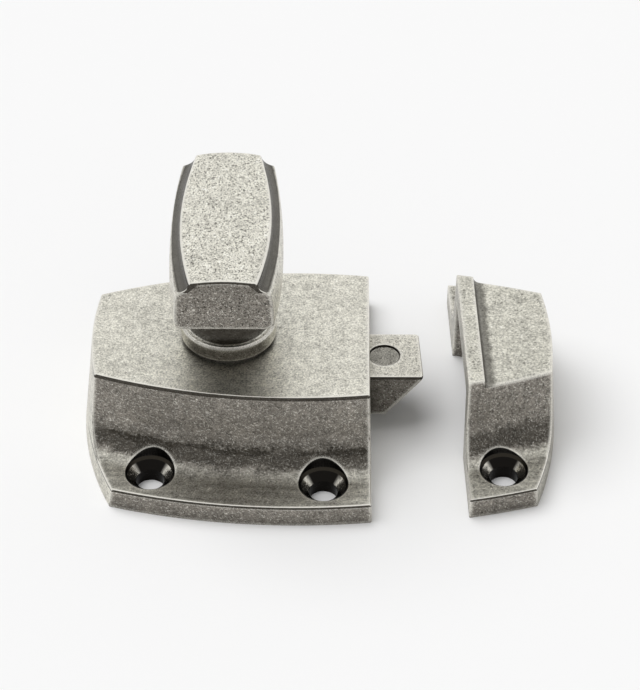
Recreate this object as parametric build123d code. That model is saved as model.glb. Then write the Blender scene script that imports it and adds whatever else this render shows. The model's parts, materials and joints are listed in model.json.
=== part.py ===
from build123d import *
import math
import os

# Cabinet latch: a coved case with a T-bar knob and a spring bolt, and the strike that takes the bolt.
# Millimetres and degrees. Z is the knob's axis and points away from the door, z = 0 is the face that
# is screwed down, and the bolt slides along X. The front and back long sides are alike.

# Case: outside of the casting
case_height = 16.0
case_flange_thickness = 3.75
case_bow_apex_x = 10.5
case_bow_radius = 103.0
case_flange_reach = 26.83
case_top_reach = 15.14
case_face_draft = 7.0
case_cove_radius = 6.0
case_right_x = 22.5
case_right_draft = 1.1
case_left_x = -23.2
case_left_radius = 55.0
case_left_draft = 6.0
case_edge_radius = 0.35

# Case: inside of the casting
case_wall = 2.4
case_roof = 2.6
plate_ledge = 1.2
guide_rib_width = 2.0
rail_depth = 1.75
rail_inset = 2.6
rail_overrun = 0.5

# Countersunk holes for the screws into the door
hole_radius = 2.25
countersink_radius = 3.85
countersink_angle = 90.0
left_hole_x = -12.0
left_hole_y = 18.9
right_hole_x = 15.0
right_hole_y = 21.4

# Fits
running_clearance = 0.05
slide_clearance = 0.1
stack_gap = 0.05
drop_in_clearance = 0.15
screw_tip_gap = 0.5
bolt_hub_gap = 0.4
bolt_end_gap = 0.3
washer_slot_clearance = 0.5

# Knob casting
knob_collar_radius = 7.5
knob_collar_height = 2.85
knob_collar_rim = 0.75
knob_collar_edge = 0.35
knob_waist_radius = 4.9
knob_waist_height = 7.0
knob_neck_top_radius = 6.4
knob_height = 39.9
handle_half_length = 16.05
handle_depth = 9.9
handle_belly = 1.2
handle_end_undercut = 4.0
handle_end_bow = 0.35
handle_half_width = 8.2
handle_end_half_width = 6.95
handle_side_bulge = 0.55
handle_lower_edge_radius = 1.6
panel_half_width = 6.8
panel_end_half_width = 5.0
panel_crown_radius = 25.0
groove_radius = 2.05
groove_drop = 2.4
handle_wall_rise = 0.7
knob_edge_radius = 0.4

# Spindle, its bearing boss and the pieces on it
spindle_radius = 3.4
spindle_in_knob = 10.5
spindle_square = 4.4
bearing_boss_radius = 5.4
bearing_boss_depth = 1.4
collar_washer_thickness = 0.4
collar_washer_radius = 6.9
thrust_washer_thickness = 0.5
thrust_washer_radius = 4.1
cam_thickness = 4.4
cam_hub_radius = 4.2
cam_tip_overrun = 0.6
cam_arm_width = 3.2
lock_washer_thickness = 0.5
lock_washer_radius = 2.75
cam_screw_head_radius = 2.4
cam_screw_head_height = 1.6
cam_screw_radius = 1.2
cam_screw_length = 6.0

# Turn of the knob, and how far that draws the bolt
bolt_travel = 7.5
knob_turn = 60.0
cam_contact_lead = 0.6

# Bolt casting
bolt_thickness = 7.8
bolt_width = 10.4
bolt_tip_x = 30.7
bolt_tip_rake = 0.6
bolt_nose_land = 0.35
bolt_nose_bevel = 5.9
bolt_edge_radius = 0.2
bolt_corner_radius = 0.6
bolt_mark_radius = 2.5
bolt_mark_x = 24.6
bolt_mark_depth = 0.25
bolt_tail_width = 17.2
bolt_tail_thickness = 3.0
bolt_end_thickness = 2.0
bolt_lug_width = 3.4

# Bolt spring and its seats
spring_wire = 0.45
spring_mean_radius = 2.4
spring_turns = 7.5
spring_seat_x = -19.0
spring_seat_radius = 3.4
spring_stub_radius = 1.6
spring_stub_length = 2.2

# Back plate and its screws
back_plate_thickness = 1.2
plate_screw_post_radius = 2.3
plate_screw_radius = 1.2
plate_screw_head_radius = 2.15
plate_screw_length = 6.0
plate_screw_slot = 0.6
right_post_x = 16.2
right_post_y = 10.2
left_post_inset = 6.2
left_post_y = 7.4

# Strike casting, in its own place: its left face is x = 0 and its middle is y = 0
strike_x = 36.55
strike_y = 0.92
strike_turn = 2.35
strike_bow_radius = 103.0
strike_flange_half_left = 25.95
strike_flange_half_right = 23.7
strike_top_half_left = 13.45
strike_top_half_right = 9.3
strike_drop = 0.7
strike_right_x = 15.3
strike_right_radius = 65.0
strike_right_draft = 3.4
strike_left_draft = 1.0
strike_rib_height = 1.2
strike_rib_width = 2.65
strike_rib_cove = 1.1
strike_wall = 3.0
strike_roof = 2.4
strike_hole_x = 5.8
strike_hole_y = 19.2
strike_countersink_radius = 3.75
strike_edge_radius = 0.2
strike_trim = 5.0

# How far the bodies that cut or bound others reach past them
past = 20.0
half_space = 60.0

# Places that follow from the sizes above
case_bow_centre_y = case_bow_radius - case_flange_reach
case_top_r = case_bow_centre_y + case_top_reach
cavity_top_z = case_height - case_roof
plate_recess = back_plate_thickness
knob_foot_z = case_height + collar_washer_thickness + stack_gap
collar_top_z = knob_foot_z + knob_collar_height
boss_end_z = cavity_top_z - bearing_boss_depth
cam_top_z = boss_end_z - thrust_washer_thickness - 2 * stack_gap
cam_foot_z = cam_top_z - cam_thickness
bolt_top_z = cavity_top_z - rail_depth - slide_clearance
bolt_foot_z = bolt_top_z - bolt_thickness
bolt_middle_z = bolt_foot_z + bolt_thickness / 2
bolt_tail_top_z = bolt_foot_z + bolt_tail_thickness
bolt_shoulder_x = bolt_travel + cam_hub_radius + bolt_hub_gap
bolt_end_x = -cam_hub_radius - bolt_end_gap - bolt_end_thickness
cam_pitch_radius = bolt_travel / math.radians(knob_turn)
lug_face_x = -cam_contact_lead - stack_gap
strike_height = case_height - strike_drop
left_post_x = case_left_x + left_post_inset


def bowed_block(outline, apex_x, centre_y):
    """Body whose front and back sides bow outwards: the outline, drawn from the bow's centre (distance,
    z), is turned about that centre for each side, and the block is what both rings have in common."""
    side = Plane(origin=(apex_x, centre_y, 0), x_dir=(0, -1, 0), z_dir=(-1, 0, 0))
    front = revolve(side * outline, Axis((apex_x, centre_y, 0), (0, 0, 1)), 360)
    return front & front.mirror(Plane.XZ)


def coved_outline(flange_r, top_r, height, flange_thickness, draft, cove_radius, inner_r):
    """Flange, cove and drafted face up to the flat top, as one closed outline."""
    foot_r = top_r + (height - flange_thickness) * math.tan(math.radians(draft))
    shape = Polyline(
        (inner_r, 0),
        (flange_r, 0),
        (flange_r, flange_thickness),
        (foot_r, flange_thickness),
        (top_r, height),
        (inner_r, height),
        close=True,
    )
    face = make_face(shape)
    corner = face.vertices().sort_by_distance((foot_r, flange_thickness))[0]
    return fillet(corner, cove_radius)


def hollow_outline(top_r, height, roof, wall, draft, inner_r):
    """Inside of a casting, one wall in from its drafted face and one roof down from its top."""
    slope = math.tan(math.radians(draft))
    wall_r = wall / math.cos(math.radians(draft))
    foot_r = top_r + height * slope - wall_r
    roof_r = top_r + roof * slope - wall_r
    roof_z = height - roof
    return make_face(
        Polyline((inner_r, 0), (foot_r, 0), (roof_r, roof_z), (inner_r, roof_z), close=True)
    )


def tapered_side(x, height, draft, back_x):
    """Wedge-shaped bar that gives a flat end face with draft."""
    lean = height * math.tan(math.radians(draft))
    shape = Polyline((back_x, 0), (x, 0), (x - lean, height), (back_x, height), close=True)
    return extrude(Plane.XZ * make_face(shape), half_space, both=True)


def bowed_end(x, radius, height, draft, side):
    """Cone that gives a bowed end face with draft: side is -1 for a left end and 1 for a right end."""
    top_radius = radius - height * math.tan(math.radians(draft))
    cone = Cone(radius, top_radius, height, align=(Align.CENTER, Align.CENTER, Align.MIN))
    return Pos(x - side * radius, 0, 0) * cone


def countersunk_cutter(radius, head_radius, surface_z, angle, above):
    """Through hole, cone and clear way above it, for a screw that goes down along Z."""
    cone_depth = (head_radius - radius) / math.tan(math.radians(angle / 2))
    outline = Polyline(
        (0, -1),
        (radius, -1),
        (radius, surface_z - cone_depth),
        (head_radius, surface_z),
        (head_radius, surface_z + above),
        (0, surface_z + above),
        close=True,
    )
    return revolve(Plane.XZ * make_face(outline), Axis.Z, 360)


def block(x0, x1, y0, y1, z0, z1):
    """Plain block between two corners."""
    low = (Align.MIN, Align.MIN, Align.MIN)
    return Pos(x0, y0, z0) * Box(x1 - x0, y1 - y0, z1 - z0, align=low)


def post(x, y, z0, z1, radius):
    """Round post along Z."""
    return Pos(x, y, z0) * Cylinder(radius, z1 - z0, align=(Align.CENTER, Align.CENTER, Align.MIN))


def rod(x0, x1, z, radius):
    """Round rod along X."""
    return Pos(x0, 0, z) * Rot(0, 90, 0) * Cylinder(
        radius, x1 - x0, align=(Align.CENTER, Align.CENTER, Align.MIN)
    )


def ring(z0, thickness, outer, inner):
    """Flat washer about the knob's axis."""
    return post(0, 0, z0, z0 + thickness, outer) - post(0, 0, z0 - 1, z0 + thickness + 1, inner)


def plate_screw_places():
    return [
        (right_post_x, -right_post_y),
        (right_post_x, right_post_y),
        (left_post_x, -left_post_y),
        (left_post_x, left_post_y),
    ]


def case_outside():
    outline = coved_outline(
        case_bow_radius,
        case_top_r,
        case_height,
        case_flange_thickness,
        case_face_draft,
        case_cove_radius,
        case_bow_radius / 3,
    )
    body = bowed_block(outline, case_bow_apex_x, case_bow_centre_y)
    body = body & tapered_side(case_right_x, case_height, case_right_draft, case_left_x - past)
    body = body & bowed_end(case_left_x, case_left_radius, case_height, case_left_draft, -1)
    worn = [edge for edge in body.edges() if edge.center().Z > 0.1]
    sharp = [edge for edge in worn if not is_smooth(edge, body)]
    return fillet(sharp, case_edge_radius)


def is_smooth(edge, body):
    """True where the two faces that share the edge run into each other without a corner."""
    faces = [face for face in body.faces() if any(edge.is_same(other) for other in face.edges())]
    if len(faces) != 2:
        return True
    at = edge.position_at(0.5)
    turn = faces[0].normal_at(at).get_angle(faces[1].normal_at(at))
    return turn < 5


def case_hollow():
    """Inside space of the casting, at one wall's distance from its faces."""
    hollow = hollow_outline(
        case_top_r, case_height, case_roof, case_wall, case_face_draft, case_bow_radius / 3
    )
    space = bowed_block(hollow, case_bow_apex_x, case_bow_centre_y)
    space = space & tapered_side(
        case_right_x - case_wall, cavity_top_z, case_right_draft, case_left_x - past
    )
    return space & bowed_end(
        case_left_x + case_wall,
        case_left_radius - case_wall,
        cavity_top_z,
        case_left_draft,
        -1,
    )


def plate_outline(depth, clearance):
    """Back plate, or the recess for it: the hollow's outline widened by the ledge."""
    slope = math.tan(math.radians(case_face_draft))
    wall_r = case_wall / math.cos(math.radians(case_face_draft))
    edge_r = case_top_r + case_height * slope - wall_r + plate_ledge - clearance
    inner_r = case_bow_radius / 3
    strip = make_face(
        Polyline((inner_r, 0), (edge_r, 0), (edge_r, depth), (inner_r, depth), close=True)
    )
    plate = bowed_block(strip, case_bow_apex_x, case_bow_centre_y)
    right_x = case_right_x - case_wall + plate_ledge - clearance
    left_x = case_left_x + case_wall - plate_ledge + clearance
    left_radius = case_left_radius - case_wall + plate_ledge - clearance
    plate = plate & tapered_side(right_x, depth, case_right_draft, case_left_x - past)
    return plate & bowed_end(left_x, left_radius, depth, case_left_draft, -1)


def case_inner_metal():
    """Ribs, posts and bosses that the casting has in its hollow."""
    guide_y = bolt_width / 2 + slide_clearance
    guide_x = bolt_shoulder_x + slide_clearance
    rail_z = bolt_top_z + slide_clearance
    rail_x = bolt_end_x - bolt_travel - rail_overrun
    rail_y = bolt_tail_width / 2 - rail_inset
    metal = post(0, 0, boss_end_z, cavity_top_z + 1, bearing_boss_radius)
    for side in (-1, 1):
        near, far = sorted((side * guide_y, side * (guide_y + guide_rib_width)))
        metal += block(guide_x, case_right_x, near, far, plate_recess, cavity_top_z + 1)
        near, far = sorted((side * rail_y, side * (rail_y + guide_rib_width)))
        metal += block(rail_x, case_right_x, near, far, rail_z, cavity_top_z + 1)
    for x, y in plate_screw_places():
        metal += post(x, y, plate_recess, cavity_top_z + 1, plate_screw_post_radius)
    metal += rod(case_left_x, spring_seat_x, bolt_middle_z, spring_seat_radius)
    metal += rod(case_left_x, spring_seat_x + spring_stub_length, bolt_middle_z, spring_stub_radius)
    return metal


def make_case():
    hollow = case_hollow() - case_inner_metal()
    case = case_outside() - hollow
    case -= plate_outline(plate_recess, 0)
    case -= post(0, 0, -1, case_height + 1, spindle_radius + running_clearance)
    way = bolt_width / 2 + slide_clearance
    case -= block(
        bolt_shoulder_x,
        case_right_x + 1,
        -way,
        way,
        bolt_foot_z - slide_clearance,
        bolt_top_z + slide_clearance,
    )
    cutter = countersunk_cutter(
        hole_radius,
        countersink_radius,
        case_flange_thickness,
        countersink_angle,
        case_cove_radius,
    )
    for x, y in ((left_hole_x, left_hole_y), (right_hole_x, right_hole_y)):
        case -= Pos(x, y, 0) * cutter
        case -= Pos(x, -y, 0) * cutter
    for x, y in plate_screw_places():
        tap_end = plate_recess + plate_screw_length
        case -= post(x, y, -1, tap_end, plate_screw_radius + running_clearance)
    return case


def make_back_plate():
    plate = plate_outline(back_plate_thickness, drop_in_clearance)
    for x, y in plate_screw_places():
        head = plate_screw_cone(plate_screw_head_radius + stack_gap, plate_screw_radius + stack_gap)
        plate -= Pos(x, y, 0) * head
        plate -= post(x, y, -1, plate_recess + 1, plate_screw_radius + stack_gap)
    return plate


def plate_screw_cone(head_radius, shank_radius):
    """Countersunk head, wide end down at the plate's outer face."""
    return Pos(0, 0, stack_gap) * Cone(
        head_radius,
        shank_radius,
        head_radius - shank_radius,
        align=(Align.CENTER, Align.CENTER, Align.MIN),
    )


def make_plate_screw(x, y):
    low_z = stack_gap
    screw = plate_screw_cone(plate_screw_head_radius, plate_screw_radius)
    tip_z = plate_recess + plate_screw_length - screw_tip_gap
    screw += post(0, 0, low_z, tip_z, plate_screw_radius)
    half = plate_screw_slot / 2
    reach = plate_screw_head_radius + 1
    screw -= block(-reach, reach, -half, half, low_z - 1, low_z + plate_screw_slot)
    return Pos(x, y, 0) * screw


def handle_sides():
    """Bar seen from above: long sides bow outwards, and the side walls swell a little below the groove."""
    top_z = knob_height + 1
    foot_z = knob_height - handle_depth - handle_belly - 1
    sag = handle_half_width - handle_end_half_width
    bow = (handle_half_length**2 + sag**2) / (2 * sag)
    edge_z = knob_height - groove_drop + handle_wall_rise
    swell = handle_half_width + handle_side_bulge
    inner = bow / 2
    wall = ThreePointArc(
        (bow - handle_half_width + swell - handle_side_bulge / 2, foot_z),
        (bow - handle_half_width + swell, (2 * foot_z + edge_z) / 3),
        (bow, edge_z),
    )
    rest = Polyline(wall @ 1, (bow, top_z), (inner, top_z), (inner, foot_z), wall @ 0)
    outline = make_face(Curve() + [wall, rest])
    return side_rings(outline, bow - handle_half_width)


def side_rings(outline, centre_x):
    """What the ring about a centre on the left and its mirror image on the right have in common."""
    plane = Plane(origin=(-centre_x, 0, 0), x_dir=(1, 0, 0), z_dir=(0, -1, 0))
    ring_right = revolve(plane * outline, Axis((-centre_x, 0, 0), (0, 0, 1)), 360)
    return ring_right & ring_right.mirror(Plane.YZ)


def groove_cutter():
    """Cove along both upper long edges, outside the raised panel."""
    sag = panel_half_width - panel_end_half_width
    bow = (handle_half_length**2 + sag**2) / (2 * sag)
    floor_z = knob_height - groove_drop
    top_z = knob_height + 2
    wall = Line((bow, top_z), (bow, floor_z + groove_radius))
    cove = CenterArc((bow + groove_radius, floor_z + groove_radius), groove_radius, 180, 90)
    out = bow + handle_half_width
    rest = Polyline(cove @ 1, (out, floor_z), (out, top_z), (bow, top_z))
    outline = make_face(Curve() + [wall, cove, rest])
    centre_x = bow - panel_half_width
    plane = Plane(origin=(-centre_x, 0, 0), x_dir=(1, 0, 0), z_dir=(0, -1, 0))
    right = revolve(plane * outline, Axis((-centre_x, 0, 0), (0, 0, 1)), 30)
    right = Pos(-centre_x, 0, 0) * Rot(0, 0, -15) * Pos(centre_x, 0, 0) * right
    return right + right.mirror(Plane.YZ)


def make_knob():
    handle = handle_sides()
    drop = math.tan(math.radians(handle_end_undercut)) * handle_depth
    end_foot = handle_half_length - drop
    end_z = knob_height - handle_depth
    belly = ThreePointArc(
        (-end_foot, end_z), (0, end_z - handle_belly), (end_foot, end_z)
    )
    rim = Polyline(
        belly @ 1,
        (handle_half_length, knob_height + 1),
        (-handle_half_length, knob_height + 1),
        belly @ 0,
    )
    length_view = Plane.YZ * make_face(Curve() + [belly, rim])
    handle = handle & extrude(length_view, half_space, both=True)
    crown = Pos(0, 0, knob_height - panel_crown_radius) * Rot(90, 0, 0) * Cylinder(
        panel_crown_radius, 2 * half_space
    )
    handle = handle & crown
    end_radius = (panel_half_width**2 + handle_end_bow**2) / (2 * handle_end_bow)
    for side in (-1, 1):
        end_centre = side * (handle_half_length - end_radius)
        handle = handle & post(0, end_centre, 0, knob_height + 5, end_radius)
    lower = [
        edge
        for edge in handle.edges()
        if edge.length > handle_half_length and edge.center().Z < end_z
        and abs(edge.center().X) > panel_half_width
    ]
    handle = fillet(lower, handle_lower_edge_radius)
    handle -= groove_cutter()
    sharp = [edge for edge in handle.edges() if not is_smooth(edge, handle)]
    handle = fillet(sharp, knob_edge_radius)
    neck_z = knob_height - handle_depth
    lines = Polyline(
        (0, knob_foot_z),
        (knob_collar_radius - knob_collar_edge, knob_foot_z),
        (knob_collar_radius, knob_foot_z + knob_collar_edge),
        (knob_collar_radius, collar_top_z - knob_collar_edge),
        (knob_collar_radius - knob_collar_edge, collar_top_z),
        (knob_collar_radius - knob_collar_rim, collar_top_z),
    )
    neck = Spline(
        lines @ 1,
        (knob_waist_radius, knob_foot_z + knob_waist_height),
        (knob_neck_top_radius, neck_z),
        tangents=[(-1, 0.35), (0.45, 1)],
    )
    axis_line = Polyline(neck @ 1, (0, neck_z), (0, knob_foot_z))
    stem = revolve(Plane.XZ * make_face(Curve() + [lines, neck, axis_line]), Axis.Z, 360)
    knob = handle + stem
    return knob - post(0, 0, knob_foot_z - 1, knob_foot_z + spindle_in_knob, spindle_radius)


def make_spindle():
    spindle = post(0, 0, cam_top_z, knob_foot_z + spindle_in_knob, spindle_radius)
    square = spindle_square / 2
    spindle += block(-square, square, -square, square, cam_foot_z + stack_gap, cam_top_z)
    tap_end = cam_foot_z + cam_screw_length
    return spindle - post(0, 0, 0, tap_end, cam_screw_radius + running_clearance)


def make_cam():
    """Hub with one arm. The arm's pushing flank is an involute of the pitch circle, so the bolt moves by
    the same amount for each degree of turn, and always bears on the same line of its lug."""

    def flank(roll):
        turn = (roll - cam_contact_lead) / cam_pitch_radius
        x = -roll * math.cos(turn) + cam_pitch_radius * math.sin(turn)
        y = -roll * math.sin(turn) - cam_pitch_radius * math.cos(turn)
        return (x, y)

    last = cam_contact_lead + bolt_travel + cam_tip_overrun
    curve = Spline([flank(last * step / 8) for step in range(9)])
    tip_x, tip_y = flank(last)
    reach = math.hypot(tip_x, tip_y)
    heading = math.atan2(tip_y, tip_x)
    spread = cam_arm_width / reach
    half_way = (reach * math.cos(heading + spread / 2), reach * math.sin(heading + spread / 2))
    tip_end = (reach * math.cos(heading + spread), reach * math.sin(heading + spread))
    tip = ThreePointArc(curve @ 1, half_way, tip_end)
    back = Polyline(tip @ 1, (cam_hub_radius * 0.9, -cam_hub_radius * 0.4), (0, 0), curve @ 0)
    arm = extrude(Pos(0, 0, cam_foot_z) * make_face(Curve() + [curve, tip, back]), cam_thickness)
    cam = arm + post(0, 0, cam_foot_z, cam_top_z, cam_hub_radius)
    square = spindle_square / 2 + stack_gap / 2
    return cam - block(-square, square, -square, square, cam_foot_z - 1, cam_top_z + 1)


def make_cam_screw():
    head_top = cam_foot_z - lock_washer_thickness
    screw = post(0, 0, head_top - cam_screw_head_height, head_top, cam_screw_head_radius)
    tip_z = cam_foot_z + cam_screw_length - screw_tip_gap
    screw += post(0, 0, head_top - stack_gap, tip_z, cam_screw_radius)
    half = plate_screw_slot / 2
    foot = head_top - cam_screw_head_height
    reach = cam_screw_head_radius + 1
    return screw - block(-reach, reach, -half, half, foot - 1, foot + plate_screw_slot)


def make_bolt():
    half = bolt_width / 2
    tail_half = bolt_tail_width / 2
    side_view = Polyline(
        (bolt_shoulder_x, bolt_foot_z),
        (bolt_tip_x - bolt_nose_bevel, bolt_foot_z),
        (bolt_tip_x, bolt_top_z - bolt_nose_land),
        (bolt_tip_x, bolt_top_z),
        (bolt_shoulder_x, bolt_top_z),
        close=True,
    )
    bolt = extrude(Plane.XZ * make_face(side_view), half, both=True)
    rake = Polyline(
        (bolt_tip_x, -half),
        (bolt_tip_x + 2, -half),
        (bolt_tip_x + 2, half),
        (bolt_tip_x - bolt_tip_rake, half),
        close=True,
    )
    bolt -= extrude(make_face(rake), case_height)
    corners = [
        edge
        for edge in bolt.edges()
        if edge.center().X > bolt_tip_x - bolt_tip_rake - 0.1 and edge.bounding_box().size.Y < 0.1
    ]
    bolt = fillet(corners, bolt_corner_radius)
    top_edges = [
        edge
        for edge in bolt.edges().group_by(Axis.Z)[-1]
        if edge.center().X > bolt_shoulder_x + 0.1
    ]
    bolt = fillet(top_edges, bolt_edge_radius)
    bolt -= post(bolt_mark_x, 0, bolt_top_z - bolt_mark_depth, bolt_top_z + 1, bolt_mark_radius)
    bolt += block(bolt_end_x, bolt_shoulder_x, -tail_half, tail_half, bolt_foot_z, bolt_tail_top_z)
    end_inner_x = bolt_end_x + bolt_end_thickness
    foot_z = plate_recess + slide_clearance
    bolt += block(bolt_end_x, end_inner_x, -tail_half, tail_half, foot_z, bolt_top_z)
    lug_y = -tail_half + bolt_lug_width
    bolt += block(bolt_end_x, lug_face_x, -tail_half, lug_y, bolt_foot_z, bolt_top_z)
    bolt += rod(bolt_end_x - spring_stub_length, bolt_end_x, bolt_middle_z, spring_stub_radius)
    slot_half = lock_washer_radius + washer_slot_clearance
    bolt -= post(0, 0, foot_z, cam_foot_z, slot_half)
    bolt -= post(bolt_travel, 0, foot_z, cam_foot_z, slot_half)
    return bolt - block(0, bolt_travel, -slot_half, slot_half, foot_z, cam_foot_z)


def make_spring():
    """Coil along X between the seat on the case and the bolt's end, with a wire's width at each end."""
    start = spring_seat_x + spring_wire / 2 + stack_gap
    length = bolt_end_x - spring_wire / 2 - stack_gap - start
    path = Helix(length / spring_turns, length, spring_mean_radius)
    section = Plane(origin=path @ 0, z_dir=path % 0) * Circle(spring_wire / 2)
    coil = sweep(section, path)
    return Pos(start, 0, bolt_middle_z) * Rot(0, 90, 0) * coil


def bow_through(half_left, half_right, right_x, radius):
    """Centre of the bow that stands half_left out at x = 0 and half_right out at right_x."""
    run = math.hypot(right_x, half_left - half_right)
    back = math.sqrt(radius**2 - (run / 2) ** 2)
    across_x = -(half_left - half_right) / run
    across_y = right_x / run
    return (right_x / 2 + across_x * back, across_y * back - (half_left + half_right) / 2)


def strike_top_bow():
    right_top_x = strike_right_x - strike_height * math.tan(math.radians(strike_right_draft))
    return bow_through(
        strike_top_half_left, strike_top_half_right, right_top_x, strike_bow_radius
    )


def strike_corner_x():
    """Where the bowed right end meets the flange's long edge."""
    half = strike_flange_half_right
    return strike_right_x - strike_right_radius + math.sqrt(strike_right_radius**2 - half**2)


def strike_outside():
    inner_r = strike_bow_radius / 2
    slope = math.tan(math.radians(case_face_draft))
    flange_apex_x, flange_centre_y = bow_through(
        strike_flange_half_left, strike_flange_half_right, strike_corner_x(), strike_bow_radius
    )
    flange = make_face(
        Polyline(
            (inner_r, 0),
            (strike_bow_radius, 0),
            (strike_bow_radius, case_flange_thickness),
            (inner_r, case_flange_thickness),
            close=True,
        )
    )
    rib_top_z = strike_height + strike_rib_height
    wall = make_face(
        Polyline(
            (inner_r, 0),
            (strike_bow_radius + strike_height * slope, 0),
            (strike_bow_radius - strike_rib_height * slope, rib_top_z),
            (inner_r, rib_top_z),
            close=True,
        )
    )
    blank = block(
        -strike_trim, strike_right_x + strike_trim, -half_space, half_space, 0, rib_top_z
    )
    body = bowed_block(flange, flange_apex_x, flange_centre_y) & blank
    apex_x, centre_y = strike_top_bow()
    body += bowed_block(wall, apex_x, centre_y) & blank
    foot = [
        edge
        for edge in body.edges()
        if abs(edge.center().Z - case_flange_thickness) < 0.01
        and abs(edge.center().Y) < strike_flange_half_right - 3
        and edge.length > strike_right_x
    ]
    body = fillet(foot, case_cove_radius)
    lean = rib_top_z * math.tan(math.radians(strike_left_draft))
    left = Polyline(
        (0, 0), (half_space, 0), (half_space, rib_top_z), (lean, rib_top_z), close=True
    )
    body = body & extrude(Plane.XZ * make_face(left), half_space, both=True)
    rib_right = lean + strike_rib_width
    lower = Polyline(
        (rib_right + strike_rib_cove, strike_height),
        (half_space, strike_height),
        (half_space, rib_top_z + 1),
        (rib_right, rib_top_z + 1),
        (rib_right, strike_height + strike_rib_cove),
    )
    rib_cove = CenterArc(
        (rib_right + strike_rib_cove, strike_height + strike_rib_cove), strike_rib_cove, 180, 90
    )
    body -= extrude(Plane.XZ * make_face(Curve() + [lower, rib_cove]), half_space, both=True)
    body = body & bowed_end(
        strike_right_x, strike_right_radius, rib_top_z, strike_right_draft, 1
    )
    worn = [edge for edge in body.edges() if edge.center().Z > 0.1]
    return fillet([edge for edge in worn if not is_smooth(edge, body)], strike_edge_radius)


def make_strike():
    strike = strike_outside()
    hollow = hollow_outline(
        strike_bow_radius,
        strike_height,
        strike_roof,
        strike_wall,
        case_face_draft,
        strike_bow_radius / 2,
    )
    apex_x, centre_y = strike_top_bow()
    pocket = bowed_block(hollow, apex_x, centre_y)
    pocket = pocket & bowed_end(
        strike_right_x - strike_wall,
        strike_right_radius - strike_wall,
        strike_height - strike_roof,
        strike_right_draft,
        1,
    )
    strike -= pocket
    cutter = countersunk_cutter(
        hole_radius,
        strike_countersink_radius,
        case_flange_thickness,
        countersink_angle,
        case_cove_radius,
    )
    for side in (-1, 1):
        strike -= Pos(strike_hole_x, side * strike_hole_y, 0) * cutter
    return Pos(strike_x, strike_y, 0) * Rot(0, 0, strike_turn) * strike


def make_all():
    pieces = {
        "case": make_case(),
        "back_plate": make_back_plate(),
        "knob": make_knob(),
        "collar_washer": ring(
            case_height,
            collar_washer_thickness,
            collar_washer_radius,
            spindle_radius + running_clearance,
        ),
        "knob_spindle": make_spindle(),
        "thrust_washer": ring(
            cam_top_z,
            thrust_washer_thickness,
            thrust_washer_radius,
            spindle_radius + running_clearance,
        ),
        "retractor_cam": make_cam(),
        "lock_washer": ring(
            cam_foot_z - lock_washer_thickness,
            lock_washer_thickness,
            lock_washer_radius,
            cam_screw_radius + running_clearance,
        ),
        "cam_screw": make_cam_screw(),
        "bolt": make_bolt(),
        "bolt_spring": make_spring(),
        "strike": make_strike(),
    }
    for number, (x, y) in enumerate(plate_screw_places(), 1):
        pieces[f"back_plate_screw_{number}"] = make_plate_screw(x, y)
    return pieces


os.makedirs("parts", exist_ok=True)
for name, piece in make_all().items():
    solids = piece.solids()
    print(name, len(solids), "solid", round(sum(solid.volume for solid in solids), 1), "mm3")
    export_step(piece, f"parts/{name}.step")
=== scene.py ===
# %% [markdown]
# # Cabinet latch: finishes, light and camera
# The latch is a set of small metal castings. Their shapes come from the imported CAD frame, so this lesson
# is mostly about surfaces: how an antique pewter finish is built from a few layers of noise and masks, and
# how soft studio light shows it. One piece, the bolt's spring, is made again here as a coil of its own.

# %% Load the frame
import bpy
import bmesh
import json
import math
from mathutils import Matrix, Vector

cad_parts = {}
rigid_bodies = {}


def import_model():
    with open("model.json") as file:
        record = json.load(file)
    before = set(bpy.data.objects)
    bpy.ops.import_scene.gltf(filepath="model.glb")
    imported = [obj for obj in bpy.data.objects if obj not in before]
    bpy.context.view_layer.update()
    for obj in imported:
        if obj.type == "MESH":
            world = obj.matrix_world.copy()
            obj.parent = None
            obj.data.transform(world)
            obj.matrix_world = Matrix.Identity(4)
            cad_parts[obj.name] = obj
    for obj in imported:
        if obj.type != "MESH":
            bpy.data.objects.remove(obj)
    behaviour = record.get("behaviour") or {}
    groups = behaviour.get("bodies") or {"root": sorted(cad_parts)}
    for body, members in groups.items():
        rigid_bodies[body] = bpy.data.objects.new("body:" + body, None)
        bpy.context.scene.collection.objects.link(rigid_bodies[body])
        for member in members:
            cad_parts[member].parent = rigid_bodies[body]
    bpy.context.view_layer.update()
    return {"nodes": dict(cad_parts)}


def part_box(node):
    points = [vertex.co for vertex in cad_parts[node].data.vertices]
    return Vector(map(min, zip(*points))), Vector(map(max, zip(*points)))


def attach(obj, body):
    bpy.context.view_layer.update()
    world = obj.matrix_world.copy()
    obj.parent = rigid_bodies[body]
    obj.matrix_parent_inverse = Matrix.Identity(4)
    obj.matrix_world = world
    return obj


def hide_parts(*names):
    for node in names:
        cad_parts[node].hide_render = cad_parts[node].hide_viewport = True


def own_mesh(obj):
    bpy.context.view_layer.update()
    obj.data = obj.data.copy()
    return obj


for leftover in list(bpy.data.objects):
    bpy.data.objects.remove(leftover)
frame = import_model()
MM = 0.001

# %% [markdown]
# The camera stands about half a metre away, above the front of the latch, with a long lens. A long lens
# from a distance keeps the two long sides almost parallel, as in a catalogue picture. The place, the
# direction and the lens were fitted to the edges of the castings, so they are given as numbers. The
# camera's own axes are the columns of its turning matrix: right, up and backwards.

# %% Camera
CAMERA_PLACE = Vector((16.392, -370.556, 335.756)) * MM
LOOK_DOWN = 0.71553
LOOK_ASIDE = -0.00541
ROLL = -0.00077
SENSOR = 36.0
FOCAL_PIXELS = 3104.22
LONG_SIDE_PIXELS = 690

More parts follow.
